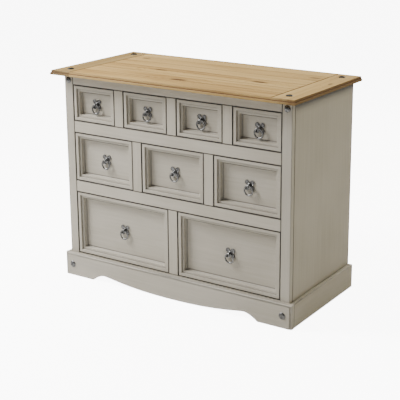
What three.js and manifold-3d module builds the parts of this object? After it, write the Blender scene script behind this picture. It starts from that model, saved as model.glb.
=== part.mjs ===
// A painted pine chest with nine drawers: a waxed plank top with breadboard ends, a face frame
// of stiles, rails and dividers, inset drawers with moulded fronts and ring pulls, and a plinth
// with a scalloped apron. Millimetres, +Z up, +X to the right seen from the front, +Y to the back.
// The origin is on the floor, under the middle of the top.
import * as THREE from 'three';
import { mergeVertices } from 'three/addons/utils/BufferGeometryUtils.js';
import Module from 'manifold-3d';

// ---------------------------------------------------------------- driving dimensions

const joint = 0.3; // glue line or bearing gap between two pieces that touch

const bodyWidth = 1008;
const bodyDepth = 470;
const panelThickness = 18; // side panels and base board

const topThickness = 18;
const topOverhang = { side: 33, front: 46, back: 3 };
const breadboardWidth = 94;
const topArris = 1.2;
const topCove = { set: 4, from: 5, to: 10 }; // upper edge set back, and the cove's two depths
const topToe = 2.5; // eased lower corner

const frameThickness = 20; // stiles, rails and dividers, front to back
const stileFace = 40;
const dividerFace = 42;
const midRailHeight = 46;
const topRailHeight = 39;

const rows = [
  { name: 'top', count: 4, opening: 142 },
  { name: 'middle', count: 3, opening: 195 },
  { name: 'bottom', count: 2, opening: 256 },
];

const plinthHeight = 93;
const plinthThickness = 18;
const plinthOvolo = { reach: 10, drop: 9, quirk: 1 }; // border along the front board's top and ends
const plinthOvoloSteps = 8;
const footLength = 141;
const apron = { run: 57, crest: 26, belly: 1.5, leadX: 34, leadZ: 25 };
const apronPull = { crest: 0.9, belly: 0.66 }; // where the long curve's handles stand
const apronSteps = 20;
const baseReveal = 3; // base board above the plinth

const backThickness = 6;
const dustThickness = 12;
const guideHeight = 18;

const frontGap = 2.5; // all round an inset drawer front
const frontSetback = 1;
const frontPanel = 9; // wood left behind the sunk panel
const lipWidth = 12;
const step = { run: 2, depth: 6.5 };
const bandWidth = 8;
const bandFall = 1;
const cove = { run: 6, depth: 13.5 };

const boxWall = 12;
const boxBottom = 6;
const boxBottomLift = 8;
const boxSideGap = 3;
const boxTopGap = 14;
const boxBackGap = 20;
const runnerGap = 0.5;

const lobeOffset = 11; // four round lobes of the pull's back plate
const lobeRadius = 8.5;
const plateThickness = 2.5;
const bossRadius = 8;
const bossRise = 2.3;
const pivotStandoff = 9; // eyelet's centre in front of the sunk panel
const eyeletWall = 2.6;
const eyeletWidth = 5;
const ringMargin = 1.9; // between the hanging ring and the moulding of the lowest front
const wireRadius = 2.6;
const wireClearance = 0.7;
const roundSides = 16;
const ringSteps = 24;
const wireSides = 8;

// ---------------------------------------------------------------- derived places

const over = 5; // how far cutting solids run past what they cut

const topWidth = bodyWidth + 2 * topOverhang.side;
const topDepth = topOverhang.front + bodyDepth + topOverhang.back;
const faceY = -topDepth / 2 + topOverhang.front;
const backY = faceY + bodyDepth;
const halfBody = bodyWidth / 2;
const innerHalf = halfBody - panelThickness;
const openingSpan = bodyWidth - 2 * stileFace;

const baseTop = plinthHeight + baseReveal;
let level = baseTop;
for (const row of [...rows].reverse()) {
  row.floor = level;
  row.ceiling = level + row.opening;
  row.width = (openingSpan - (row.count - 1) * dividerFace) / row.count;
  level = row.ceiling + midRailHeight;
}
const bodyTop = rows[0].ceiling + topRailHeight;
const topUnderside = bodyTop + joint;

const frameBackY = faceY + frameThickness;
const insideFrontY = frameBackY + joint;
const backPanelY = backY - backThickness;
const insideBackY = backPanelY - joint;

const recessDepth = step.depth + bandFall + cove.depth;
const frontThickness = recessDepth + frontPanel;
const boxLength = bodyDepth - backThickness - frontSetback - frontThickness - boxBackGap;
const borderWidth = lipWidth + step.run + bandWidth + cove.run;
const lowestOpening = Math.min(...rows.map((row) => row.opening));
const sunkHalfHeight = lowestOpening / 2 - frontGap - borderWidth;
const ringRadius = (sunkHalfHeight - ringMargin - wireRadius) / 2; // to the middle of the wire
const holeRadius = wireRadius + wireClearance;
const eyeletRadius = holeRadius + eyeletWall;

// ---------------------------------------------------------------- solids

const wasm = await Module();
wasm.setup();

const AXIS = null; // marks a profile point on the lathe's axis

function toSolid(geometry) {
  geometry.deleteAttribute('normal');
  geometry.deleteAttribute('uv');
  const merged = mergeVertices(geometry, joint / 100);
  const corners = merged.index.array;
  const kept = [];
  for (let i = 0; i < corners.length; i += 3) {
    const [a, b, c] = corners.slice(i, i + 3);
    if (a !== b && b !== c && c !== a) kept.push(a, b, c);
  }
  const vertProperties = Float32Array.from(merged.attributes.position.array);
  const triVerts = Uint32Array.from(kept);
  return new wasm.Manifold(new wasm.Mesh({ numProp: 3, vertProperties, triVerts }));
}

function toGeometry(solid) {
  const mesh = solid.getMesh();
  const geometry = new THREE.BufferGeometry();
  geometry.setAttribute('position', new THREE.BufferAttribute(mesh.vertProperties, mesh.numProp));
  geometry.setIndex(new THREE.BufferAttribute(mesh.triVerts, 1));
  geometry.computeVertexNormals();
  return geometry;
}

function block([x0, x1], [y0, y1], [z0, z1]) {
  const geometry = new THREE.BoxGeometry(x1 - x0, y1 - y0, z1 - z0);
  return geometry.translate((x0 + x1) / 2, (y0 + y1) / 2, (z0 + z1) / 2);
}

function joinAll(geometries) {
  return geometries.map(toSolid).reduce((whole, next) => whole.add(next));
}

// A four-sided lathe about Y, stretched to a rectangle: each [inset, height] of the profile
// becomes a mitred ring that far inside the outline.
function mitredTurning(profile, width, depth) {
  const points = profile.map(([inset, height]) => new THREE.Vector2(inset === AXIS ? 0 : 1, height));
  const sides = 4;
  const geometry = new THREE.LatheGeometry(points, sides, Math.PI / sides);
  const position = geometry.attributes.position;
  for (let i = 0; i < position.count; i++) {
    const inset = profile[i % profile.length][0];
    if (inset === AXIS) continue;
    position.setX(i, Math.sign(position.getX(i)) * (width / 2 - inset));
    position.setZ(i, Math.sign(position.getZ(i)) * (depth / 2 - inset));
  }
  return geometry;
}

// The same, standing up: heights run along Z.
function mitredSlab(profile, width, depth) {
  return mitredTurning(profile, width, depth).rotateX(Math.PI / 2);
}

// ---------------------------------------------------------------- materials

const greyPaint = new THREE.MeshStandardMaterial({ color: 0xaaa69b, roughness: 0.6, metalness: 0 });
const waxedPine = new THREE.MeshStandardMaterial({ color: 0xc49d68, roughness: 0.5, metalness: 0 });
const barePine = new THREE.MeshStandardMaterial({ color: 0xd8bd92, roughness: 0.7, metalness: 0 });
const pewter = new THREE.MeshStandardMaterial({ color: 0x55565a, roughness: 0.4, metalness: 0.9 });

const chest = new THREE.Group();

function add(name, geometry, material, parent = chest) {
  const mesh = new THREE.Mesh(geometry, material);
  mesh.name = name;
  parent.add(mesh);
  return mesh;
}

function addBoard(name, material, xSpan, ySpan, zSpan) {
  add(name, block(xSpan, ySpan, zSpan), material);
}

// ---------------------------------------------------------------- top

function addTop() {
  const coveInset = topCove.set;
  const profile = [
    [AXIS, 0],
    [topToe, 0],
    [0, topToe],
    [0, topThickness - topCove.to],
    [coveInset, topThickness - topCove.from],
    [coveInset, topThickness - topArris],
    [coveInset + topArris, topThickness],
    [AXIS, topThickness],
  ];
  // The back edge is sawn square, so the turning runs past it and is cut off there.
  const turned = mitredSlab(profile, topWidth, topDepth + 2 * over);
  const slab = toSolid(turned.translate(0, over, topUnderside));
  const seam = topWidth / 2 - breadboardWidth;
  const ySpan = [-topDepth / 2 - over, topDepth / 2];
  const zSpan = [topUnderside - over, topUnderside + topThickness + over];
  const cut = (xSpan) => toGeometry(slab.intersect(toSolid(block(xSpan, ySpan, zSpan))));
  add('top_boards', cut([-seam + joint, seam - joint]), waxedPine);
  add('top_end_left', cut([-topWidth / 2 - over, -seam]), waxedPine);
  add('top_end_right', cut([seam, topWidth / 2 + over]), waxedPine);
}

// ---------------------------------------------------------------- carcass

function addCarcass() {
  for (const [side, sign] of [['left', -1], ['right', 1]]) {
    const span = (inner, outer) => [sign * inner, sign * outer].sort((a, b) => a - b);
    const panelX = span(innerHalf, halfBody);
    addBoard(`side_panel_${side}`, greyPaint, panelX, [insideFrontY, backY], [0, bodyTop]);
    const stileX = span(halfBody - stileFace, halfBody);
    addBoard(`stile_${side}`, greyPaint, stileX, [faceY, frameBackY], [0, bodyTop]);
  }

  const railX = [-openingSpan / 2 + joint, openingSpan / 2 - joint];
  const frameY = [faceY, frameBackY];
  const [topRow, middleRow, bottomRow] = rows;
  addBoard('top_rail', greyPaint, railX, frameY, [topRow.ceiling, bodyTop]);
  addBoard('upper_rail', greyPaint, railX, frameY, [middleRow.ceiling, topRow.floor]);
  addBoard('lower_rail', greyPaint, railX, frameY, [bottomRow.ceiling, middleRow.floor]);

  for (const row of rows) {
    for (let i = 1; i < row.count; i++) {
      const left = -openingSpan / 2 + i * row.width + (i - 1) * dividerFace;
      const zSpan = [row.floor + joint, row.ceiling - joint];
      addBoard(`${row.name}_divider_${i}`, greyPaint, [left, left + dividerFace], frameY, zSpan);
    }
  }

  const insideX = [-innerHalf + joint, innerHalf - joint];
  const baseBottom = baseTop - panelThickness;
  const tongue = block(railX, [faceY, insideFrontY + over], [baseBottom, baseTop]);
  const base = block(insideX, [insideFrontY, insideBackY], [baseBottom, baseTop]);
  add('base_board', toGeometry(joinAll([tongue, base, ...guides(bottomRow)])), barePine);

  for (const [name, row] of [['upper_dust_board', topRow], ['lower_dust_board', middleRow]]) {
    const zSpan = [row.floor - dustThickness, row.floor];
    const dust = block(insideX, [insideFrontY, insideBackY], zSpan);
    add(name, toGeometry(joinAll([dust, ...guides(row)])), barePine);
  }

  const backRailY = [insideBackY - frameThickness, insideBackY];
  addBoard('back_rail', barePine, insideX, backRailY, [topRow.ceiling, bodyTop]);
  addBoard('back_panel', barePine, insideX, [backPanelY, backY], [baseBottom, bodyTop]);
}

// Battens that stand on a dust board and steer the drawers: one behind each divider and stile.
function guides(row) {
  const sunk = dustThickness / 2;
  const battens = [];
  for (let i = 0; i <= row.count; i++) {
    const rightEdge = -openingSpan / 2 + i * (row.width + dividerFace);
    const right = Math.min(rightEdge, innerHalf - joint);
    const left = Math.max(rightEdge - dividerFace, -innerHalf + joint);
    battens.push(block([left, right], [insideFrontY, insideBackY], [row.floor - sunk, row.floor + guideHeight]));
  }
  return battens;
}

// ---------------------------------------------------------------- plinth

const plinthHalf = halfBody + joint + plinthThickness;
const plinthFrontY = faceY - joint - plinthThickness;

// Space under the front board between its two feet.
function apronCut() {
  const footEnd = plinthHalf - footLength;
  const crestX = footEnd - apron.run;
  const outline = new THREE.Shape();
  outline.moveTo(-footEnd, -over);
  outline.lineTo(-footEnd, 0);
  outline.quadraticCurveTo(-footEnd + apron.leadX, apron.leadZ, -crestX, apron.crest);
  outline.bezierCurveTo(
    -crestX * apronPull.crest, apron.crest,
    -crestX * apronPull.belly, apron.belly,
    0, apron.belly,
  );
  outline.bezierCurveTo(
    crestX * apronPull.belly, apron.belly,
    crestX * apronPull.crest, apron.crest,
    crestX, apron.crest,
  );
  outline.quadraticCurveTo(footEnd - apron.leadX, apron.leadZ, footEnd, 0);
  outline.lineTo(footEnd, -over);
  const depth = plinthThickness + 2 * over;
  const cut = new THREE.ExtrudeGeometry(outline, { depth, bevelEnabled: false, curveSegments: apronSteps });
  return toSolid(cut.rotateX(Math.PI / 2).translate(0, plinthFrontY - over + depth, 0));
}

function addPlinth() {
  const ovolo = [];
  for (let i = 0; i <= plinthOvoloSteps; i++) {
    const angle = (i / plinthOvoloSteps) * (Math.PI / 2);
    const inset = plinthOvolo.reach * (1 - Math.sin(angle));
    const depth = plinthOvolo.quirk + plinthOvolo.drop * (1 - Math.cos(angle));
    ovolo.push([inset, depth]);
  }
  const profile = [
    [AXIS, 0],
    [plinthOvolo.reach, 0],
    ...ovolo,
    [0, plinthThickness],
    [AXIS, plinthThickness],
  ];
  // The border runs round a board twice as tall, whose lower half is then sawn off.
  const frontBack = plinthFrontY + plinthThickness;
  const tall = mitredTurning(profile, 2 * plinthHalf, 2 * plinthHeight).translate(0, plinthFrontY, 0);
  const outer = plinthHalf + over;
  const kept = block([-outer, outer], [plinthFrontY - over, frontBack + over], [0, plinthHeight + over]);
  const front = toSolid(tall).intersect(toSolid(kept)).subtract(apronCut());
  add('plinth_front', toGeometry(front), greyPaint);

  // The side boards butt against the back of the front board.
  const inner = plinthHalf - plinthThickness;
  const depth = [frontBack + joint, backY];
  add('plinth_left', block([-plinthHalf, -inner], depth, [0, plinthHeight]), greyPaint);
  add('plinth_right', block([inner, plinthHalf], depth, [0, plinthHeight]), greyPaint);
}

// ---------------------------------------------------------------- drawers
// Each drawer is its own group, with its origin on the face plane at the opening's centre.

function drawerFront(row) {
  const bandStart = lipWidth + step.run;
  const bandEnd = bandStart + bandWidth;
  const back = frontSetback + frontThickness;
  const profile = [
    [AXIS, recessDepth + frontSetback],
    [borderWidth, recessDepth + frontSetback],
    [bandEnd, step.depth + bandFall + frontSetback],
    [bandStart, step.depth + frontSetback],
    [lipWidth, frontSetback],
    [0, frontSetback],
    [0, back],
    [AXIS, back],
  ];
  return mitredTurning(profile, row.width - 2 * frontGap, row.opening - 2 * frontGap);
}

function drawerBox(row) {
  const halfWidth = row.width / 2 - boxSideGap;
  const bottom = runnerGap - row.opening / 2;
  const top = row.opening / 2 - boxTopGap;
  const front = frontSetback + frontThickness + joint;
  const back = front + boxLength;
  const inner = halfWidth - boxWall;
  const inside = [-inner, inner];
  const floor = bottom + boxBottomLift;
  const shell = toSolid(block([-halfWidth, halfWidth], [front, back], [bottom, top]));
  const hollow = toSolid(block(inside, [front - over, back - boxWall], [floor + boxBottom, top + over]));
  const underside = toSolid(block(inside, [front - over, back - boxWall], [bottom - over, floor]));
  return toGeometry(shell.subtract(hollow).subtract(underside));
}

// ---------------------------------------------------------------- ring pulls

// A round bar along Y, between two distances in front of the sunk panel.
function stub(radius, near, far, x = 0, z = 0) {
  const bar = new THREE.CylinderGeometry(radius, radius, far - near, roundSides);
  return bar.translate(x, -(near + far) / 2, z);
}

// Four-lobed back plate with its boss and the eyelet that the ring hangs in.
function handlePlate() {
  const plate = [stub(lobeOffset, 0, plateThickness)];
  for (const x of [-lobeOffset, lobeOffset]) {
    for (const z of [-lobeOffset, lobeOffset]) plate.push(stub(lobeRadius, 0, plateThickness, x, z));
  }
  plate.push(stub(bossRadius, 0, plateThickness + bossRise));

  const halfEyelet = eyeletWidth / 2;
  const neck = [-pivotStandoff, -plateThickness / 2];
  plate.push(block([-halfEyelet, halfEyelet], neck, [-eyeletRadius, eyeletRadius]));
  const acrossX = (radius, length) => {
    const bar = new THREE.CylinderGeometry(radius, radius, length, roundSides);
    return bar.rotateZ(Math.PI / 2).translate(0, -pivotStandoff, 0);
  };
  plate.push(acrossX(eyeletRadius, eyeletWidth));
  const hole = toSolid(acrossX(holeRadius, eyeletWidth + 2 * over));
  return toGeometry(joinAll(plate).subtract(hole));
}

function handleRing() {
  const ring = new THREE.TorusGeometry(ringRadius, wireRadius, wireSides, ringSteps);
  return ring.rotateX(Math.PI / 2).translate(0, -pivotStandoff, -ringRadius);
}

function addDrawers() {
  for (const row of rows) {
    for (let i = 0; i < row.count; i++) {
      const drawer = new THREE.Group();
      const left = -openingSpan / 2 + i * (row.width + dividerFace);
      drawer.position.set(left + row.width / 2, faceY, (row.floor + row.ceiling) / 2);
      const label = `${row.name}_${i + 1}`;
      add(`drawer_front_${label}`, drawerFront(row), greyPaint, drawer);
      add(`drawer_box_${label}`, drawerBox(row), barePine, drawer);
      const panelFace = frontSetback + recessDepth - joint;
      add(`handle_plate_${label}`, handlePlate(), pewter, drawer).position.y = panelFace;
      add(`handle_ring_${label}`, handleRing(), pewter, drawer).position.y = panelFace;
      chest.add(drawer);
    }
  }
}

addTop();
addCarcass();
addPlinth();
addDrawers();

export default chest;
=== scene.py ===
import math

import bmesh
import bpy
from mathutils import Matrix, Vector


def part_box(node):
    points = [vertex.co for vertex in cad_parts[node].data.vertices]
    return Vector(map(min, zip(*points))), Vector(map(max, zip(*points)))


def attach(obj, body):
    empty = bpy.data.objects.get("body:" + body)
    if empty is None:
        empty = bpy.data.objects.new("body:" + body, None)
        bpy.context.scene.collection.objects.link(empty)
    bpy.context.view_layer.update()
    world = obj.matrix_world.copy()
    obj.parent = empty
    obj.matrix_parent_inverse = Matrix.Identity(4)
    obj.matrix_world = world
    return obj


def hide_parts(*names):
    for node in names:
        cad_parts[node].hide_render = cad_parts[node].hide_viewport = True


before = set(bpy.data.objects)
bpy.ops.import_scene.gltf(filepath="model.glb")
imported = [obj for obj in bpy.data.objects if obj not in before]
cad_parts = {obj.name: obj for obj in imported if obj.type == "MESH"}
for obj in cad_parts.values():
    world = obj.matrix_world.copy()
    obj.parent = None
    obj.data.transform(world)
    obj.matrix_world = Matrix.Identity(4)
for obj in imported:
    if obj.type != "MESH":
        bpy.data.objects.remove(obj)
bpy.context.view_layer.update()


# ---- Studio -----------------------------------------------------------------------------
# The dresser stands on a pale lit floor under five soft boxes, the strongest two high on the
# left. The camera looks at it from the right of the front, a little above the top.

MM = 0.001
FOCAL = 93.4
SENSOR = 36.0
SHIFT = (-0.08, -0.125)
AZIMUTH = math.radians(32.26)
ELEVATION = math.radians(14.68)
AIM = Vector((0.1275, 0.0, 0.5553))
CAMERA_DISTANCE = 3.929

camera_data = bpy.data.cameras.new("camera")
camera_data.sensor_width = SENSOR
camera_data.lens = FOCAL
camera_data.shift_x, camera_data.shift_y = SHIFT
camera = bpy.data.objects.new("camera", camera_data)
bpy.context.collection.objects.link(camera)
towards_camera = Vector((
    math.sin(AZIMUTH) * math.cos(ELEVATION),
    -math.cos(AZIMUTH) * math.cos(ELEVATION),
    math.sin(ELEVATION),
))
camera.location = AIM + towards_camera * CAMERA_DISTANCE
camera.rotation_euler = towards_camera.to_track_quat("Z", "Y").to_euler()
bpy.context.scene.camera = camera

LIGHTS_AIM = Vector((0.0, 0.0, 0.42))
SKY_STRENGTH = 0.14


def soft_box(name, place, size, power, colour):
    """A square soft box that hangs at place and looks at the middle of the dresser."""
    data = bpy.data.lights.new(name, "AREA")
    data.size = size
    data.energy = power
    data.color = colour
    lamp = bpy.data.objects.new(name, data)
    bpy.context.collection.objects.link(lamp)
    lamp.location = place
    lamp.rotation_euler = (Vector(place) - LIGHTS_AIM).to_track_quat("Z", "Y").to_euler()


soft_box("key_light", (-1.8, -1.0, 2.4), 0.8, 106.0, (1.0, 0.99, 0.97))
soft_box("left_light", (-2.8, -1.4, 2.2), 1.3, 106.0, (1.0, 0.99, 0.97))
soft_box("warm_fill", (2.9, 0.8, 2.9), 1.2, 37.0, (1.0, 0.90, 0.54))
soft_box("top_light", (0.0, 0.6, 3.2), 2.4, 42.0, (1.0, 0.98, 0.94))
soft_box("back_light", (0.8, 3.2, 1.9), 2.2, 60.0, (1.0, 0.98, 0.95))

sky = bpy.data.worlds.new("white_studio")
sky.use_nodes = True
sky.node_tree.nodes["Background"].inputs["Color"].default_value = (1.0, 0.99, 0.97, 1.0)
sky.node_tree.nodes["Background"].inputs["Strength"].default_value = SKY_STRENGTH
bpy.context.scene.world = sky

FLOOR_HALF = 30.0
UNDERLAY_DROP = 0.5 * MM
FLOOR_WHITE = (0.86, 0.86, 0.855, 1.0)
FLOOR_ROUGHNESS = 0.9
FLOOR_GLOW = 8.5
SWEEP_GLOW = 9.5


def studio_sheet(name, shape, glow, lit_from_behind):
    """A pale sheet of the studio. One lit from behind is only looked at and lights nothing."""
    mesh = bpy.data.meshes.new(name)
    shape.to_mesh(mesh)
    shape.free()
    finish = bpy.data.materials.new(name)
    finish.use_nodes = True
    shader = finish.node_tree.nodes["Principled BSDF"]
    shader.inputs["Base Color"].default_value = FLOOR_WHITE
    shader.inputs["Roughness"].default_value = FLOOR_ROUGHNESS
    shader.inputs["Emission Color"].default_value = (1.0, 1.0, 1.0, 1.0)
    shader.inputs["Emission Strength"].default_value = glow
    mesh.materials.append(finish)
    sheet = bpy.data.objects.new(name, mesh)
    bpy.context.collection.objects.link(sheet)
    sheet.visible_camera = lit_from_behind
    sheet.visible_diffuse = sheet.visible_glossy = sheet.visible_shadow = not lit_from_behind


lit_floor, underlay, sweep = bmesh.new(), bmesh.new(), bmesh.new()
bmesh.ops.create_grid(lit_floor, x_segments=1, y_segments=1, size=FLOOR_HALF)
bmesh.ops.create_grid(underlay, x_segments=1, y_segments=1, size=FLOOR_HALF,
                      matrix=Matrix.Translation((0, 0, -UNDERLAY_DROP)))
bmesh.ops.create_icosphere(sweep, subdivisions=4, radius=FLOOR_HALF)
studio_sheet("studio_floor", lit_floor, FLOOR_GLOW, True)
studio_sheet("floor_underlay", underlay, 0.0, False)
studio_sheet("studio_sweep", sweep, SWEEP_GLOW, True)


# ---- Top --------------------------------------------------------------------------------
# Six pine planks glued edge to edge between two breadboard ends that keep them flat. The edge
# is moulded with a bead and a cove. Honey antique wax is rubbed in, darkest in the cove, where the darkening
# is partly painted shade; the end mouldings get painted shade.

EARLY_WOOD = (0.600, 0.420, 0.180)
MIDDLE_WOOD = (0.490, 0.325, 0.118)
LATE_WOOD = (0.310, 0.180, 0.058)
# Knots, and the painted shade in the hollows of the waxed pine, take this dark brown.
KNOT_AND_SHADE_BROWN = (0.110, 0.055, 0.020)
WAX_SHINE = 0.3
WAX_ROUGHNESS = (0.34, 0.46)
DULL_HOLLOW = 0.5
BOARD_CONTRAST = 0.28
PINE_SQUEEZE, PINE_STRETCH = 16.0, 0.55
GRAIN_LINES = 21.0
LATE_SHARPNESS = 2.2
PATCH_SHADE, PORE_SHADE = 0.20, 0.30
KNOT_LENGTH = 0.35
KNOT_REACH, KNOT_BULGE = 5.0, 0.35
KNOT_CORE, KNOT_EDGE = 0.4, 1.3


def put(tree, kind, inputs=(), **settings):
    """Adds a shader node, with its settings, and with each input linked or set."""
    made = tree.nodes.new(kind)
    for key, value in settings.items():
        setattr(made, key, value)
    for socket, value in dict(inputs).items():
        if isinstance(value, bpy.types.NodeSocket):
            tree.links.new(value, made.inputs[socket])
        else:
            made.inputs[socket].default_value = value
    return made


def reckon(tree, operation, *values):
    return put(tree, "ShaderNodeMath", enumerate(values), operation=operation).outputs[0]


def vector_step(tree, operation, *values):
    return put(tree, "ShaderNodeVectorMath", enumerate(values), operation=operation).outputs


def spread(tree, value, before, after, **settings):
    """Stretches the part of a value that lies between two numbers to lie between two others."""
    return put(tree, "ShaderNodeMapRange", {
        "Value": value, "From Min": before[0], "From Max": before[1],
        "To Min": after[0], "To Max": after[1],
    }, **settings).outputs["Result"]


def noise(tree, place, own, scale, detail, roughness=0.5):
    """Cloudy noise, different on each board because it starts from the board's own number."""
    return put(tree, "ShaderNodeTexNoise", {
        "Vector": place, "W": own, "Scale": scale, "Detail": detail, "Roughness": roughness,
    }, noise_dimensions="4D").outputs["Fac"]


def ramp(tree, amount, stops):
    """Colours or greys along an amount from 0 to 1."""
    made = put(tree, "ShaderNodeValToRGB", {"Fac": amount})
    points = made.color_ramp.elements
    while len(points) < len(stops):
        points.new(1.0)
    for point, (place, colour) in zip(points, stops):
        point.position = place
        point.color = (*colour, 1.0) if isinstance(colour, tuple) else (colour, colour, colour, 1.0)
    return made.outputs["Color"]


def lay_over(tree, amount, under, over):
    """Lays one colour over another, as thickly as the amount says."""
    return put(tree, "ShaderNodeMixRGB", {
        "Fac": amount, "Color1": under, "Color2": (*over, 1),
    }).outputs["Color"]


def tinted(colour, pale):
    return tuple(min(1.0, part * pale) for part in colour)


def new_finish(name):
    material = bpy.data.materials.new(name)
    material.use_nodes = True
    return material, material.node_tree, material.node_tree.nodes["Principled BSDF"]


def grain_place(tree, along, squeeze, stretch=1.0):
    """Object coordinates squeezed so that a pattern runs long along the grain, and a board's own number."""
    place = put(tree, "ShaderNodeTexCoord").outputs["Object"]
    scale = tuple(stretch if axis == along else squeeze for axis in "XYZ")
    squeezed = put(tree, "ShaderNodeMapping", {"Vector": place, "Scale": scale}).outputs["Vector"]
    own = put(tree, "ShaderNodeAttribute", attribute_name="board").outputs["Fac"]
    return place, squeezed, own


# The darkening kept on each vertex: partly glaze, wax and patina, partly painted shade in hollows, joints and
# gaps.
def glaze_and_shade_in_hollows(tree):
    return put(tree, "ShaderNodeAttribute", attribute_name="glaze_and_shade").outputs["Fac"]


def add_bump(tree, bsdf, strength, distance, height):
    bump = put(tree, "ShaderNodeBump", {"Strength": strength, "Distance": distance, "Height": height})
    tree.links.new(bump.outputs["Normal"], bsdf.inputs["Normal"])


def pine(name, along, pale=1.0, knots=(), roughness=WAX_ROUGHNESS):
    """Pine with its grain along one axis: pale early wood, darker late wood in long cathedral
    figures, fine pores, and knots, given as (place, radius), that the grain flows round."""
    material, tree, bsdf = new_finish(name)
    place, squeezed, own = grain_place(tree, along, PINE_SQUEEZE, PINE_STRETCH)
    rings = noise(tree, squeezed, own, 1.1, 2.0)
    heart = None
    for centre, radius in knots:
        longer = tuple(KNOT_LENGTH if axis == along else 1.0 for axis in "XYZ")
        offset = vector_step(tree, "SUBTRACT", place, centre)[0]
        shaped = vector_step(tree, "MULTIPLY", offset, longer)[0]
        away = vector_step(tree, "LENGTH", shaped)["Value"]
        bulge = spread(tree, away, (0.0, radius * KNOT_REACH), (KNOT_BULGE, 0.0),
                       interpolation_type="SMOOTHERSTEP")
        rings = reckon(tree, "ADD", rings, bulge)
        core = spread(tree, away, (radius * KNOT_CORE, radius * KNOT_EDGE), (1.0, 0.0),
                      interpolation_type="SMOOTHSTEP")
        heart = core if heart is None else reckon(tree, "MAXIMUM", heart, core)
    wave = reckon(tree, "PINGPONG", reckon(tree, "MULTIPLY", rings, GRAIN_LINES), 1.0)
    pores = noise(tree, squeezed, own, 34.0, 4.0, 0.7)
    patches = spread(tree, noise(tree, squeezed, own, 1.9, 3.0), (0.32, 0.68), (0.22, 0.80))
    late = reckon(tree, "POWER", wave, LATE_SHARPNESS)
    mixed = reckon(tree, "MULTIPLY_ADD", late, PATCH_SHADE, patches)
    shade = reckon(tree, "MULTIPLY_ADD", pores, PORE_SHADE, mixed)
    colour = ramp(tree, shade, [
        (0.42, tinted(EARLY_WOOD, pale)), (0.76, tinted(MIDDLE_WOOD, pale)), (1.0, tinted(LATE_WOOD, pale)),
    ])
    chance = put(tree, "ShaderNodeTexWhiteNoise", {"W": own}, noise_dimensions="1D").outputs["Value"]
    darker = reckon(tree, "MULTIPLY", chance, BOARD_CONTRAST)
    colour = lay_over(tree, darker, colour, tinted(LATE_WOOD, pale))
    if heart is not None:
        colour = lay_over(tree, heart, colour, KNOT_AND_SHADE_BROWN)
    # Wax and painted shade darken the hollows and joints.
    wax_and_shade = glaze_and_shade_in_hollows(tree)
    colour = lay_over(tree, wax_and_shade, colour, tinted(KNOT_AND_SHADE_BROWN, pale))
    tree.links.new(colour, bsdf.inputs["Base Color"])
    gloss = spread(tree, pores, (0.3, 0.7), roughness)
    dull = reckon(tree, "MULTIPLY_ADD", wax_and_shade, DULL_HOLLOW, gloss)
    tree.links.new(dull, bsdf.inputs["Roughness"])
    bsdf.inputs["Specular IOR Level"].default_value = WAX_SHINE
    add_bump(tree, bsdf, 0.18, 0.3 * MM, shade)
    return material


top_knots = [
    ((-0.177, -0.031, 0.838), 0.011),
    ((-0.003, -0.159, 0.838), 0.014),
    ((0.272, -0.043, 0.838), 0.013),
    ((0.406, 0.133, 0.838), 0.009),
    ((-0.380, 0.150, 0.838), 0.008),
]
top_pine = pine("waxed_pine_planks", "X", knots=top_knots)
end_pine = pine("waxed_pine_ends", "Y", knots=[((0.505, 0.06, 0.838), 0.006)])
left_end_pine = pine("waxed_pine_left_end", "Y", pale=0.6)

ACROSS, BACKWARDS, UP = Vector((1, 0, 0)), Vector((0, 1, 0)), Vector((0, 0, 1))
SHARP_ANGLE = math.radians(38)
TOUCHING = 0.01 * MM
SAW_PRECISION = 0.001 * MM
LEVEL = 0.99
PLANKS = 6
HAIRLINE = 0.12 * MM
BACK_SPARE = 30 * MM
TOP_BEAD = 8 * MM
BEAD_ROUND, BEAD_STEPS = 2.5 * MM, 4
LEDGE_RUN, LEDGE_RISE = 0.8 * MM, 0.5 * MM
COVE_SET, COVE_RISE, COVE_STEPS = 4 * MM, 5 * MM, 6
UPRIGHT_RUN = 0.02 * MM
TOP_ARRIS = 1.2 * MM
ARRIS_SHORT, ARRIS_LONG = 0.35 * TOP_ARRIS, 0.65 * TOP_ARRIS
# The cove takes wax and painted shade; the end mouldings take painted shade.
BEAD_WAX, COVE_WAX_AND_SHADE, END_PAINTED_SHADE = 0.2, 1.0, 0.8
JOINT_GROOVE = 0.9 * MM
GROOVE_FADE = 3 * MM
END_MOULDING = 4.7 * MM

boards_low, boards_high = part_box("top_boards")
left_low, left_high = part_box("top_end_left")
right_low, right_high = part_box("top_end_right")
slab_low = Vector((left_low.x, boards_low.y, boards_low.z))
slab_high = Vector((right_high.x, boards_high.y, boards_high.z))


def marks(bm):
    """The two values kept on every vertex: the darkening in a hollow, partly glaze, wax and patina and partly
    painted shade, and the board's own number.
    """
    layers = bm.verts.layers.float
    return layers.get("glaze_and_shade") or layers.new("glaze_and_shade"), layers.get("board") or layers.new("board")


def leave_glaze_and_shade(bm, faces, amount):
    glaze_and_shade_mark = marks(bm)[0]
    for face in faces:
        for vert in face.verts:
            vert[glaze_and_shade_mark] = amount


def sawn_board(low, high):
    bm = bmesh.new()
    size = Vector(high) - Vector(low)
    place = Matrix.Translation((Vector(high) + Vector(low)) / 2) @ Matrix.Diagonal((*size, 1))
    bmesh.ops.create_cube(bm, size=1, matrix=place)
    return bm


def saw(bm, place, direction, **settings):
    """Cuts an edge into every face that a plane crosses."""
    everything = [*bm.verts, *bm.edges, *bm.faces]
    return bmesh.ops.bisect_plane(bm, geom=everything, plane_co=place, plane_no=direction, **settings)


def quarter_turn(steps):
    """A right angle in even steps, as pairs of the angle before and after each step."""
    angles = [math.pi / 2 * step / steps for step in range(steps + 1)]
    return list(zip(angles, angles[1:]))


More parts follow.
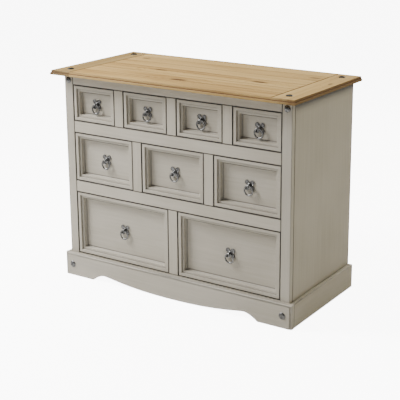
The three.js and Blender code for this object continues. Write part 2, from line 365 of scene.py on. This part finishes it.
def carve(bm, face, lines, direction):
    """Works a face inwards, line by line: (run inwards, move along direction, glaze and painted shade left
    there).
    """
    for run, move, glaze_and_shade in lines:
        bmesh.ops.inset_region(bm, faces=[face], thickness=run, depth=0, use_even_offset=True)
        bmesh.ops.translate(bm, verts=face.verts, vec=direction * move)
        leave_glaze_and_shade(bm, [face], glaze_and_shade)


def finish_piece(name, bm, material, slot, body, *nodes, number=0.0):
    """Turns the bmesh into a piece that rides on a body and stands for its CAD nodes. Its number
    shifts the grain or the brush marks, so that no two boards look alike."""
    board_mark = marks(bm)[1]
    for vert in bm.verts:
        vert[board_mark] += number
    bmesh.ops.recalc_face_normals(bm, faces=bm.faces)
    for face in bm.faces:
        face.smooth = True
    for edge in bm.edges:
        edge.smooth = edge.is_manifold and edge.calc_face_angle() < SHARP_ANGLE
    mesh = bpy.data.meshes.new(name)
    bm.to_mesh(mesh)
    bm.free()
    mesh.materials.append(material)
    piece = bpy.data.objects.new(name, mesh)
    bpy.context.collection.objects.link(piece)
    steady = piece.modifiers.new("even_shading", "WEIGHTED_NORMAL")
    steady.keep_sharp = True
    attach(piece, body)
    if nodes:
        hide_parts(*nodes)
    return piece


def moulded_slab():
    """The whole top as one blank, moulded on all four sides and a little too deep at the back."""
    high = Vector((slab_high.x, slab_high.y + BACK_SPARE, slab_low.z + TOP_BEAD))
    bm = sawn_board(slab_low, high)
    lower = [edge for edge in bm.edges if all(v.co.z < slab_low.z + MM for v in edge.verts)]
    bmesh.ops.bevel(bm, geom=lower, offset=BEAD_ROUND, segments=BEAD_STEPS, profile=0.5,
                    affect="EDGES", material=-1)
    leave_glaze_and_shade(bm, bm.faces, BEAD_WAX)
    lines = [(LEDGE_RUN, LEDGE_RISE, 0.0)]
    for before, after in quarter_turn(COVE_STEPS):
        run = (COVE_SET - LEDGE_RUN) * (math.sin(after) - math.sin(before))
        lines.append((run, COVE_RISE * (math.cos(before) - math.cos(after)), COVE_WAX_AND_SHADE))
    lines[-2:] = [(run, rise, COVE_WAX_AND_SHADE / 3) for run, rise, _ in lines[-2:]]
    straight = slab_high.z - slab_low.z - TOP_BEAD - LEDGE_RISE - COVE_RISE - TOP_ARRIS
    lines += [(UPRIGHT_RUN, straight, 0.0), (ARRIS_SHORT, ARRIS_LONG, 0.0), (ARRIS_LONG, ARRIS_SHORT, 0.0)]
    upper_face = max(bm.faces, key=lambda face: face.calc_center_median().z)
    carve(bm, upper_face, lines, UP)
    return bm


def cut_off(bm, place, outwards):
    """Saws through the whole piece, drops what lies outwards and closes the sawn face."""
    sawn = saw(bm, place, outwards, clear_outer=True, dist=SAW_PRECISION)
    rim = [part for part in sawn["geom_cut"] if isinstance(part, bmesh.types.BMEdge)]
    bmesh.ops.edgeloop_fill(bm, edges=rim)


def groove_joint(bm, joint_x):
    """Takes the arris off where a plank meets a breadboard end, and leaves dark wax there."""
    arris = [edge for edge in bm.edges
             if all(abs(v.co.x - joint_x) < TOUCHING and v.co.z > slab_high.z - TOUCHING for v in edge.verts)]
    made = bmesh.ops.bevel(bm, geom=arris, offset=JOINT_GROOVE, segments=1, profile=0.5,
                           affect="EDGES", material=-1)
    leave_glaze_and_shade(bm, made["faces"], 1.0)
    upper = [face for face in bm.faces
             if face.normal.z > LEVEL and face.calc_center_median().z > slab_high.z - MM
             and face not in made["faces"]]
    bmesh.ops.inset_region(bm, faces=upper, thickness=GROOVE_FADE, depth=0, use_even_offset=True)
    leave_glaze_and_shade(bm, upper, 0.0)


def paint_shade_on_ends(bm):
    """Paints shade on the moulding across the ends of the top, much darker than the one along the front."""
    glaze_and_shade_mark = marks(bm)[0]
    for vert in bm.verts:
        if abs(vert.co.x) > slab_high.x - END_MOULDING:
            vert[glaze_and_shade_mark] = max(vert[glaze_and_shade_mark], END_PAINTED_SHADE)


def top_board(name, low, high, material, node, number):
    """Sawn out of the moulded blank on each side where it meets another board, and at the back."""
    bm = moulded_slab()
    middle = (low + high) / 2
    for axis in (ACROSS, BACKWARDS):
        reach = abs((high - low).dot(axis)) / 2
        for side in (-1, 1):
            place = middle + axis * side * reach
            if slab_low.dot(axis) + MM < place.dot(axis) < slab_high.dot(axis) + MM:
                cut_off(bm, place, axis * side)
    for side in (-1, 1):
        joint_x = middle.x + side * (high.x - low.x) / 2
        if abs(joint_x) < slab_high.x - MM:
            groove_joint(bm, joint_x)
    paint_shade_on_ends(bm)
    finish_piece(name, bm, material, "waxed_pine", "carcass", node, number=number)


plank_width = (slab_high.y - slab_low.y) / PLANKS
for plank in range(PLANKS):
    front = slab_low.y + plank * plank_width
    back = front + plank_width
    low = Vector((boards_low.x, front + (HAIRLINE if plank else 0), slab_low.z))
    high = Vector((boards_high.x, back - (HAIRLINE if plank < PLANKS - 1 else 0), slab_high.z))
    top_board(f"top_plank_{plank + 1}", low, high, top_pine, "top_boards", number=3.7 * (plank + 1))
top_board("breadboard_left", left_low - ACROSS * MM, left_high, left_end_pine, "top_end_left",
          number=31.0)
top_board("breadboard_right", right_low, right_high + ACROSS * MM, end_pine, "top_end_right",
          number=44.0)


# ---- Face frame -------------------------------------------------------------------------
# Two stiles joined by three rails, with upright dividers between the rails, all of pine in two
# coats of warm grey chalky paint. A brown glaze with painted shade is wiped off the flats and left in the
# joints and inside the drawer openings; rails and dividers take a paler copy of the paint, a painted light.

PAINT = (0.420, 0.386, 0.322)
PAINT_PALE = (0.455, 0.421, 0.356)
PAINT_DEEP = (0.380, 0.345, 0.281)
# The dark brown of the glaze, which also paints the shade in joints and gaps.
GLAZE_AND_SHADE_COLOUR = (0.030, 0.026, 0.020)
# The rails and dividers are painted this much paler: painted light, brighter than the sunk drawer panels.
PAINTED_LIGHT_PALE = 1.09
BRUSH_SQUEEZE = 26.0


def grey_paint(name, along, pale=1.0):
    """Chalky paint brushed along one axis, under a satin wax, with glaze and painted shade left in the
    hollows.
    """
    material, tree, bsdf = new_finish(f"{name}_{along.lower()}")
    place, squeezed, own = grain_place(tree, along, BRUSH_SQUEEZE)
    streaks = noise(tree, squeezed, own, 4.5, 5.0, 0.62)
    clouds = noise(tree, place, own, 3.2, 2.0)
    half = reckon(tree, "MULTIPLY", reckon(tree, "ADD", streaks, clouds), 0.5)
    coat = ramp(tree, half, [
        (0.38, tinted(PAINT_DEEP, pale)), (0.5, tinted(PAINT, pale)), (0.62, tinted(PAINT_PALE, pale)),
    ])
    patchy = spread(tree, streaks, (0.3, 0.7), (0.85, 1.0))
    # Glaze and painted shade, broken up by the brush streaks.
    wiped = reckon(tree, "MULTIPLY", glaze_and_shade_in_hollows(tree), patchy)
    tree.links.new(lay_over(tree, wiped, coat, GLAZE_AND_SHADE_COLOUR), bsdf.inputs["Base Color"])
    tree.links.new(spread(tree, streaks, (0.3, 0.7), (0.46, 0.60)), bsdf.inputs["Roughness"])
    add_bump(tree, bsdf, 0.22, 0.4 * MM, streaks)
    return material


paint = {axis: grey_paint("grey_paint", axis) for axis in "XYZ"}
# A paler copy of the paint for the rails and dividers: painted light.
lit_paler_paint = {axis: grey_paint("lit_paler_paint", axis, PAINTED_LIGHT_PALE) for axis in "XZ"}

FORWARDS = Vector((0, -1, 0))
FADE = 1.8 * MM
SMALLEST_FLAT = 16 * FADE * FADE
JOINT_EASE = 1.1 * MM
# Glaze in the joints, and painted shade on the faces inside the drawer openings.
JOINT_GLAZE_AND_SHADE = 1.0
OUTER_CORNER = 3 * MM
face_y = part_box("top_rail")[0].y


def facing(normal, direction):
    return normal.dot(direction) > 0.5


def ease(bm, width, segments=2, glaze_and_shade=0.0, takes_glaze_and_shade=None, wiped=None):
    """Rounds the sharp arrises. Glaze and painted shade stay on those for which takes_glaze_and_shade(middle)
    is true, and on the flats, unless wiped(normal) says that they are wiped clean."""
    sharp = [edge for edge in bm.edges if edge.is_manifold and edge.calc_face_angle() > SHARP_ANGLE]
    made = bmesh.ops.bevel(bm, geom=sharp, offset=width, segments=segments, profile=0.5,
                           affect="EDGES", material=-1, clamp_overlap=True)
    if not glaze_and_shade:
        return
    rounded = {face for face in made["faces"] if face.is_valid}
    flats = [face for face in bm.faces if face not in rounded and face.calc_area() > SMALLEST_FLAT]
    clean = [face for face in flats if wiped is None or wiped(face.normal)]
    dark = [face for face in rounded if takes_glaze_and_shade is None or takes_glaze_and_shade(face.calc_center_median())]
    leave_glaze_and_shade(bm, dark, glaze_and_shade)
    leave_glaze_and_shade(bm, set(flats) - set(clean), glaze_and_shade)
    bmesh.ops.inset_individual(bm, faces=clean, thickness=FADE, depth=0, use_even_offset=True)
    leave_glaze_and_shade(bm, clean, 0.0)


def ease_in_frame(bm):
    """Eases a rail or a divider. Only its front is wiped clean, as far as the joints; its faces inside the
    drawer openings keep glaze and painted shade.
    """
    ease(bm, JOINT_EASE, glaze_and_shade=JOINT_GLAZE_AND_SHADE,
         takes_glaze_and_shade=lambda middle: middle.y < face_y + 2 * JOINT_EASE,
         wiped=lambda normal: facing(normal, FORWARDS))


for side, sign in (("left", -1), ("right", 1)):
    node = f"stile_{side}"
    low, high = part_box(node)
    outer = low.x if sign < 0 else high.x
    stile = sawn_board(low, high)
    ease(stile, JOINT_EASE, glaze_and_shade=JOINT_GLAZE_AND_SHADE,
         takes_glaze_and_shade=lambda middle: abs(middle.x - outer) > OUTER_CORNER or middle.y > high.y - OUTER_CORNER,
         wiped=lambda normal: facing(normal, FORWARDS) or facing(normal, ACROSS * sign))
    finish_piece(f"frame_{node}", stile, paint["Z"], "grey_paint", "carcass", node, number=2.0 + sign)

for number, node in enumerate(("top_rail", "upper_rail", "lower_rail")):
    rail = sawn_board(*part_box(node))
    ease_in_frame(rail)
    finish_piece(f"frame_{node}", rail, lit_paler_paint["X"], "grey_paint", "carcass", node,
                 number=5.0 + number)

dividers = sorted(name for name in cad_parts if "_divider_" in name)
for number, node in enumerate(dividers):
    divider = sawn_board(*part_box(node))
    ease_in_frame(divider)
    finish_piece(f"frame_{node}", divider, lit_paler_paint["Z"], "grey_paint", "carcass", node,
                 number=9.0 + number)


# ---- Side panels ------------------------------------------------------------------------
# A flat glued-up pine panel stands behind each stile, painted as the frame is. A quirk runs
# down the joint, darkened with glaze and painted shade, and a painted shadow lies under the overhang of the
# top.

QUIRK = 1.6 * MM
# Glaze and painted shade in the quirk at the joint with the stile.
SIDE_GLAZE_AND_SHADE = 0.9
# The painted shadow under the overhang of the top, as (drop below the top, darkness).
PAINTED_SHADOW_UNDER_TOP = ((0.0, 0.85), (17 * MM, 0.85), (25 * MM, 0.50), (36 * MM, 0.18), (52 * MM, 0.0))


def paint_shadow_under_top(bm, top_z):
    """Paints the shadow of the overhang of the top, which fades out down the panel by (drop, darkness)."""
    for drop, _ in PAINTED_SHADOW_UNDER_TOP[1:]:
        saw(bm, (0, 0, top_z - drop), UP)
    glaze_and_shade_mark = marks(bm)[0]
    for vert in bm.verts:
        for (drop, glaze_and_shade), (next_drop, next_shade) in zip(PAINTED_SHADOW_UNDER_TOP, PAINTED_SHADOW_UNDER_TOP[1:]):
            part = (top_z - vert.co.z - drop) / (next_drop - drop)
            if 0 <= part <= 1:
                vert[glaze_and_shade_mark] = max(vert[glaze_and_shade_mark], glaze_and_shade + (next_shade - glaze_and_shade) * part)


for side, sign in (("left", -1), ("right", 1)):
    node = f"side_panel_{side}"
    low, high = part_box(node)
    panel = sawn_board(low, high)
    ease(panel, QUIRK, glaze_and_shade=SIDE_GLAZE_AND_SHADE, takes_glaze_and_shade=lambda middle: middle.y < low.y + 3 * QUIRK)
    paint_shadow_under_top(panel, high.z)
    finish_piece(f"{node}_board", panel, paint["Z"], "grey_paint", "carcass", node, number=20.0 + sign)


# ---- Plinth -----------------------------------------------------------------------------
# The front board has an ovolo along its top and ends, and its lower edge is sawn to a
# scalloped apron. It covers the ends of two plain side boards, glued to the carcass.

PLINTH_EASE = 0.8 * MM
SIDE_ROUND, SIDE_STEPS = 2.5 * MM, 3
# Glaze and painted shade on the edges that meet the carcass and the other plinth boards.
PLINTH_GLAZE_AND_SHADE = 0.6
FLAT_ENOUGH = math.radians(1)
body_side_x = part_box("side_panel_right")[1].x


def copy_of_node(node):
    """The CAD node's own shape as one clean solid with whole flat faces."""
    bm = bmesh.new()
    bm.from_mesh(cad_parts[node].data)
    bmesh.ops.remove_doubles(bm, verts=bm.verts, dist=TOUCHING)
    bmesh.ops.dissolve_limit(bm, angle_limit=FLAT_ENOUGH, verts=bm.verts, edges=bm.edges)
    return bm


board = copy_of_node("plinth_front")
low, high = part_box("plinth_front")
ease(board, PLINTH_EASE, glaze_and_shade=PLINTH_GLAZE_AND_SHADE, takes_glaze_and_shade=lambda middle: middle.y > high.y - 2 * PLINTH_EASE)
finish_piece("plinth_front_board", board, paint["X"], "grey_paint", "carcass", "plinth_front",
             number=25.0)

for side, sign in (("left", -1), ("right", 1)):
    node = f"plinth_{side}"
    low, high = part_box(node)
    board = sawn_board(low, high)
    ease(board, SIDE_ROUND, SIDE_STEPS, glaze_and_shade=PLINTH_GLAZE_AND_SHADE,
         takes_glaze_and_shade=lambda middle: middle.y < low.y + SIDE_ROUND or abs(middle.x) < body_side_x + SIDE_ROUND)
    finish_piece(f"{node}_board", board, paint["Y"], "grey_paint", "carcass", node, number=27.0 + sign)


# ---- Inside of the carcass --------------------------------------------------------------
# Dust boards with battens glued on, which carry and steer the drawers, and the base board
# and back rail that tie the sides together: bare planed pine, painted where it meets the front.

BARE_PINE = 1.35
BARE_ROUGHNESS = (0.55, 0.70)
INSIDE_EASE = 0.7 * MM
frame_back_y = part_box("lower_rail")[1].y

bare_pine = pine("bare_pine", "X", BARE_PINE, roughness=BARE_ROUGHNESS)
bare_pine_deep = pine("bare_pine_deep", "Y", BARE_PINE, roughness=BARE_ROUGHNESS)


def paint_front_strip(bm):
    """Paints a board as far back as the face frame goes, and paints shade on top of it, where it shows in the
    gap under the drawers.
    """
    saw(bm, (0, frame_back_y, 0), BACKWARDS)
    strip = [face for face in bm.faces if face.calc_center_median().y < frame_back_y]
    for face in strip:
        face.material_index = 1
    leave_glaze_and_shade(bm, [face for face in strip if not facing(face.normal, FORWARDS)], JOINT_GLAZE_AND_SHADE)


for number, node in enumerate(("upper_dust_board", "lower_dust_board", "base_board", "back_rail")):
    board = copy_of_node(node)
    ease(board, INSIDE_EASE)
    if node == "base_board":
        paint_front_strip(board)
    inside = finish_piece(f"{node}_planed", board, bare_pine, "bare_pine", "carcass", node,
                          number=51.0 + number)
    inside.data.materials.append(paint["X"])


# ---- Back -------------------------------------------------------------------------------
# Ten upright boards of thin bare pine close the back between the side panels, with a shallow
# groove down every joint. Screws along their ends hold them to the carcass.

BACK_BOARDS = 10
BACK_PINE = 1.2
BACK_ROUGHNESS = (0.60, 0.75)
GROOVE = 1.5 * MM
GROOVE_GLAZE = 0.4

back_pine = pine("back_board_pine", "Z", BACK_PINE, roughness=BACK_ROUGHNESS)
back_low, back_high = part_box("back_panel")
board_width = (back_high.x - back_low.x) / BACK_BOARDS
for number in range(BACK_BOARDS):
    left = back_low.x + number * board_width
    slat = sawn_board((left, back_low.y, back_low.z), (left + board_width, back_high.y, back_high.z))
    ease(slat, GROOVE, glaze_and_shade=GROOVE_GLAZE)
    finish_piece(f"back_board_{number + 1}", slat, back_pine, "bare_pine", "carcass", "back_panel",
                 number=60.0 + 2.3 * number)


# ---- Drawer fronts ----------------------------------------------------------------------
# Each pine front is framed by a moulding: a flat lip, a steep step, a soft band and a deep cove
# down to the sunk panel. It is painted, with painted shade in every quirk, down the cove walls and on the
# sides of the lip in the gap round the drawer, and bare on its back.

LIP = 12 * MM
LIP_DEPTH = 9 * MM
STEP_RUN, STEP_DROP = 2 * MM, 6.5 * MM
BAND, BAND_FALL, BAND_STEPS = 8 * MM, 1 * MM, 4
COVE_RUN, COVE_DROP, WALL_STEPS = 6 * MM, 13.5 * MM, 5
FILLET = 0.8 * MM
FILLET_DROP = 0.3 * FILLET
PANEL_FADE = 2.5 * MM
# Painted shade in the moulding, and on the front's sides in the gap round the drawer.
LIP_PAINTED_SHADE, QUIRK_PAINTED_SHADE, COVE_PAINTED_SHADE = 1.0, 0.65, 0.75
FILLET_PAINTED_SHADE, BAND_PAINTED_SHADE, BODY_PAINTED_SHADE = 0.05, 0.1, 0.1


def moulding():
    """(run inwards, drop, painted shade) for each line of the moulding, from the lip to the panel."""
    lines = [
        (FADE, 0.0, 0.0),
        (LIP - FADE - 2 * FILLET, 0.0, 0.0),
        (FILLET, FILLET_DROP, FILLET_PAINTED_SHADE),
        (STEP_RUN, STEP_DROP - FILLET_DROP, QUIRK_PAINTED_SHADE),
        (FILLET, 0.0, BAND_PAINTED_SHADE),
    ]
    for before, after in quarter_turn(BAND_STEPS):
        run = (BAND - FILLET) * (math.sin(after) - math.sin(before))
        lines.append((run, BAND_FALL * (math.cos(before) - math.cos(after)), 0.0))
    for step, (before, after) in enumerate(quarter_turn(WALL_STEPS), 1):
        run = COVE_RUN * (math.cos(before) - math.cos(after))
        drop = COVE_DROP * (math.sin(after) - math.sin(before))
        lines.append((run, drop, COVE_PAINTED_SHADE * (step / WALL_STEPS) ** 2))
    lines.append((PANEL_FADE, 0.0, 0.0))
    return lines


def drawer_front(label, number):
    node = f"drawer_front_{label}"
    front = sawn_board(*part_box(node))
    ease(front, FILLET)
    lip_y = min(vert.co.y for vert in front.verts)
    for depth in (LIP_DEPTH, LIP_DEPTH + FADE):
        saw(front, (0, lip_y + depth, 0), BACKWARDS)
    # Painted shade on the sides of the front: dark by the lip, where they sit in the gap, light behind.
    glaze_and_shade_mark = marks(front)[0]
    for vert in front.verts:
        vert[glaze_and_shade_mark] = LIP_PAINTED_SHADE if vert.co.y < lip_y + LIP_DEPTH + FADE / 2 else BODY_PAINTED_SHADE
    for face in front.faces:
        face.material_index = int(facing(face.normal, BACKWARDS))
    front_face = min(front.faces, key=lambda face: face.calc_center_median().y)
    carve(front, front_face, moulding(), BACKWARDS)
    made = finish_piece(f"moulded_front_{label}", front, paint["X"], "grey_paint", f"drawer_{label}", node,
                        number=number)
    made.data.materials.append(bare_pine)


# ---- Drawer boxes -----------------------------------------------------------------------
# Two bare pine sides with a back glued between them, and a thin bottom let in a little above
# their lower edges. The ends of the sides are glued to the back of the moulded front.

BOX_WALL = 12 * MM
BOX_BOTTOM = 6 * MM
BOTTOM_LIFT = 8 * MM
BOX_EASE = 0.9 * MM
BOX_GLAZE = 0.25


def drawer_box(label, number):
    node = f"drawer_box_{label}"
    low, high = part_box(node)
    inner_left, inner_right = low.x + BOX_WALL, high.x - BOX_WALL
    inner_back = high.y - BOX_WALL
    parts = {
        "side_left": ((low.x, low.y, low.z), (inner_left, high.y, high.z)),
        "side_right": ((inner_right, low.y, low.z), (high.x, high.y, high.z)),
        "back": ((inner_left, inner_back, low.z), (inner_right, high.y, high.z)),
        "bottom": ((inner_left, low.y, low.z + BOTTOM_LIFT),
                   (inner_right, inner_back, low.z + BOTTOM_LIFT + BOX_BOTTOM)),
    }
    for offset, (part, corners) in enumerate(parts.items()):
        board = sawn_board(*corners)
        ease(board, BOX_EASE, glaze_and_shade=BOX_GLAZE)
        wood = bare_pine_deep if part.startswith("side") else bare_pine
        finish_piece(f"drawer_{part}_{label}", board, wood, "bare_pine", f"drawer_{label}", node,
                     number=number + 1.9 * offset)


# ---- Ring pulls -------------------------------------------------------------------------
# A cast pewter plate of four round lobes, screwed on from inside the drawer. An eyelet stands
# out of its boss and a ring hangs in it. The casting is antiqued: dark, and rubbed bright on top.

LOBE_SET = 11 * MM
LOBE_RADIUS = 8.5 * MM
LOBE_SWEEP = math.radians(128)
LOBE_STEPS = 12
PLATE_RISE = 2.5 * MM
PLATE_RIM = ((0.7 * MM, 0.0, 0.0), (0.9 * MM, 0.8 * MM, 0.9), (0.8 * MM, -0.4 * MM, 0.1))
BOSS_RADIUS, BOSS_RISE, BOSS_STEPS = 8 * MM, 2.3 * MM, 6
BOSS_FOOT = PLATE_RISE + 0.4 * MM
PIVOT_OUT = 9 * MM
EYE_INNER, EYE_OUTER = 3.3 * MM, 5.9 * MM
EYE_HALF_WIDTH = 2.4 * MM
WIRE, WIRE_STEPS = 2.6 * MM, 14
RING_STEPS = 56
RING_WIDER = 1.4 * MM
SLIM_ARC = 0.6
ROUND_STEPS = 32
WELD = 0.005 * MM
SCREW_HEAD, SCREW_RISE, SCREW_STEPS = 3.8 * MM, 1.8 * MM, 16
SCREW_PROFILE = ((0.0, 0.0), (1.0, 0.0), (1.0, 0.3), (0.8, 0.8), (0.4, 1.0), (0.0, 1.0))
BLACKENED = (0.025, 0.024, 0.023)


def antique_pewter(name, dark, bright):
    """Cast metal, mottled from a dark to a bright grey, a little dented, and black in the hollows."""
    material, tree, bsdf = new_finish(name)
    place = put(tree, "ShaderNodeTexCoord").outputs["Object"]
    mottle = put(tree, "ShaderNodeTexNoise", {"Vector": place, "Scale": 260.0, "Detail": 4.0}).outputs["Fac"]
    dents = put(tree, "ShaderNodeTexVoronoi", {"Vector": place, "Scale": 300.0},
                feature="SMOOTH_F1").outputs["Distance"]
    metal = ramp(tree, mottle, [(0.35, dark), (0.68, bright)])
    tree.links.new(lay_over(tree, glaze_and_shade_in_hollows(tree), metal, BLACKENED), bsdf.inputs["Base Color"])
    bsdf.inputs["Metallic"].default_value = 1.0
    tree.links.new(spread(tree, mottle, (0.3, 0.7), (0.22, 0.42)), bsdf.inputs["Roughness"])
    add_bump(tree, bsdf, 0.35, 0.4 * MM, dents)
    return material


pewter = antique_pewter("antique_pewter", 0.09, 0.285)


def lobed_plate(centre):
    """The quatrefoil plate: four round lobes, dished, meeting at narrow waists."""
    bm = bmesh.new()
    rim = []
    for lobe in range(4):
        heading = math.radians(45 + 90 * lobe)
        hub = Vector((math.cos(heading), 0, math.sin(heading))) * LOBE_SET * math.sqrt(2)
        for step in range(LOBE_STEPS + 1):
            angle = heading - LOBE_SWEEP + 2 * LOBE_SWEEP * step / LOBE_STEPS
            spoke = Vector((math.cos(angle), 0, math.sin(angle))) * LOBE_RADIUS
            rim.append(bm.verts.new(centre + hub + spoke))
    raised = bmesh.ops.extrude_face_region(bm, geom=[bm.faces.new(rim)])["geom"]
    top_verts = [part for part in raised if isinstance(part, bmesh.types.BMVert)]
    bmesh.ops.translate(bm, verts=top_verts, vec=FORWARDS * PLATE_RISE)
    top = next(part for part in raised if isinstance(part, bmesh.types.BMFace))
    carve(bm, top, PLATE_RIM, BACKWARDS)
    return bm


def turned(profile, centre, axis, steps=ROUND_STEPS):
    """A turning: (radius, height) points spun round an axis through centre."""
    bm = bmesh.new()
    side = axis.orthogonal().normalized()
    points = [bm.verts.new(centre + side * radius + axis * height) for radius, height in profile]
    wire = [bm.edges.new(pair) for pair in zip(points, points[1:])]
    bmesh.ops.spin(bm, geom=points + wire, cent=centre, axis=axis, angle=math.tau, steps=steps,
                   use_merge=True)
    bmesh.ops.remove_doubles(bm, verts=bm.verts, dist=WELD)
    return bm


def domed(radius, foot, rise, steps, shoulder=1.0):
    """The profile of a button: an upright foot, then a dome that starts a little inside it."""
    dome = [(radius * shoulder * math.cos(angle), foot + rise * math.sin(angle))
            for _, angle in quarter_turn(steps)]
    return [(0.0, 0.0), (radius, 0.0), (radius, foot), *dome]


def wire_section(reach, half_run, half_rise):
    """The closed section of a wire whose middle is at a radius of reach."""
    angles = [math.tau * step / WIRE_STEPS for step in range(WIRE_STEPS + 1)]
    return [(reach + half_run * math.cos(angle), half_rise * math.sin(angle)) for angle in angles]


def screw(name, place, outwards, body):
    """A pan-headed screw, driven home, so that only its head shows."""
    profile = [(SCREW_HEAD * out, SCREW_RISE * up) for out, up in SCREW_PROFILE]
    finish_piece(name, turned(profile, place, outwards, SCREW_STEPS), pewter, "pewter", body)


def widen_below(bm, centre, outer):
    """A cast ring is slim where it hangs in the eyelet, and wider in its face below that."""
    for vert in bm.verts:
        spoke = Vector((vert.co.x - centre.x, 0, vert.co.z - centre.z))
        outwards = spoke.normalized()
        below = min(1.0, (1.0 - outwards.z) / SLIM_ARC)
        inner = (outer - spoke.length) / (2 * WIRE)
        vert.co -= outwards * RING_WIDER * below * inner


def ring_pull(label):
    body, node = f"drawer_{label}", f"handle_plate_{label}"
    low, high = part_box(node)
    seat = Vector(((low.x + high.x) / 2, high.y, (low.z + high.z) / 2))
    finish_piece(f"pull_plate_{label}", lobed_plate(seat), pewter, "pewter", body, node)

    boss = turned(domed(BOSS_RADIUS, BOSS_FOOT, BOSS_RISE, BOSS_STEPS), seat, FORWARDS)
    finish_piece(f"pull_boss_{label}", boss, pewter, "pewter", body, node)

    section = wire_section((EYE_INNER + EYE_OUTER) / 2, (EYE_OUTER - EYE_INNER) / 2, EYE_HALF_WIDTH)
    eyelet = turned(section, seat + FORWARDS * PIVOT_OUT, ACROSS)
    finish_piece(f"pull_eyelet_{label}", eyelet, pewter, "pewter", body, node)

    inner_face = Vector((seat.x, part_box(f"drawer_front_{label}")[1].y, seat.z))
    screw(f"pull_screw_{label}", inner_face, BACKWARDS, body)

    low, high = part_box(f"handle_ring_{label}")
    centre = (low + high) / 2
    reach = (high.x - low.x) / 2 - WIRE
    ring = turned(wire_section(reach, WIRE, WIRE), centre, FORWARDS, RING_STEPS)
    widen_below(ring, centre, reach + WIRE)
    finish_piece(f"pull_ring_{label}", ring, pewter, "pewter", f"ring_{label}", f"handle_ring_{label}")


labels = sorted(name.removeprefix("drawer_front_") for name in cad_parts
                if name.startswith("drawer_front_"))
for number, label in enumerate(labels):
    drawer_front(label, number=70.0 + 3.1 * number)
    drawer_box(label, number=110.0 + 8.3 * number)
    ring_pull(label)


# ---- Studs and screws of the back -------------------------------------------------------
# Forged dome-headed nails: four in the corners of the top, in a copy of the metal painted dark as painted
# shade, and four at the heads of the stiles and the ends of the plinth. Pan-headed screws hold the back.

STUD_RISE, STUD_STEPS = 4.5 * MM, 5
STUD_FOOT, STUD_SHOULDER = 0.5 * MM, 0.96
STUD_ON_TOP = 13 * MM
STUD_ON_STILE = 12.5 * MM
STUD_ON_PLINTH = 13.5 * MM
TOP_STUD_IN = Vector((54 * MM, 60 * MM, 0))
STILE_STUD_DOWN = 23.5 * MM
PLINTH_STUD_IN, PLINTH_STUD_UP = 39 * MM, 47 * MM
SCREW_FROM_EDGE = 19 * MM

# One nail metal in two tones: the nails on the top take the dark copy, a painted shade.
nail_metal = antique_pewter("nail_metal", 0.075, 0.26)
nail_metal_painted_dark = antique_pewter("nail_metal_painted_dark", 0.022, 0.07)


def stud(name, place, outwards, radius, metal):
    head = turned(domed(radius, STUD_FOOT, STUD_RISE, STUD_STEPS, STUD_SHOULDER), place, outwards)
    finish_piece(name, head, metal, "pewter", "carcass")


stile_low, stile_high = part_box("stile_left")
plinth_low, plinth_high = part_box("plinth_front")
for side, sign in (("left", -1), ("right", 1)):
    top_x = sign * (slab_high.x - TOP_STUD_IN.x)
    stile_x = sign * abs(stile_low.x + stile_high.x) / 2
    plinth_x = sign * (plinth_high.x - PLINTH_STUD_IN)
    stud(f"top_stud_front_{side}", Vector((top_x, slab_low.y + TOP_STUD_IN.y, slab_high.z)), UP,
         STUD_ON_TOP, nail_metal_painted_dark)
    stud(f"top_stud_back_{side}", Vector((top_x, slab_high.y - TOP_STUD_IN.y, slab_high.z)), UP,
         STUD_ON_TOP, nail_metal_painted_dark)
    stud(f"stile_stud_{side}", Vector((stile_x, face_y, stile_high.z - STILE_STUD_DOWN)), FORWARDS,
         STUD_ON_STILE, nail_metal)
    stud(f"plinth_stud_{side}", Vector((plinth_x, plinth_low.y, PLINTH_STUD_UP)), FORWARDS,
         STUD_ON_PLINTH, nail_metal)

for number in range(BACK_BOARDS):
    x = back_low.x + (number + 0.5) * board_width
    for end, z in (("low", back_low.z + SCREW_FROM_EDGE), ("high", back_high.z - SCREW_FROM_EDGE)):
        screw(f"back_screw_{end}_{number + 1}", Vector((x, back_high.y, z)), BACKWARDS, "carcass")
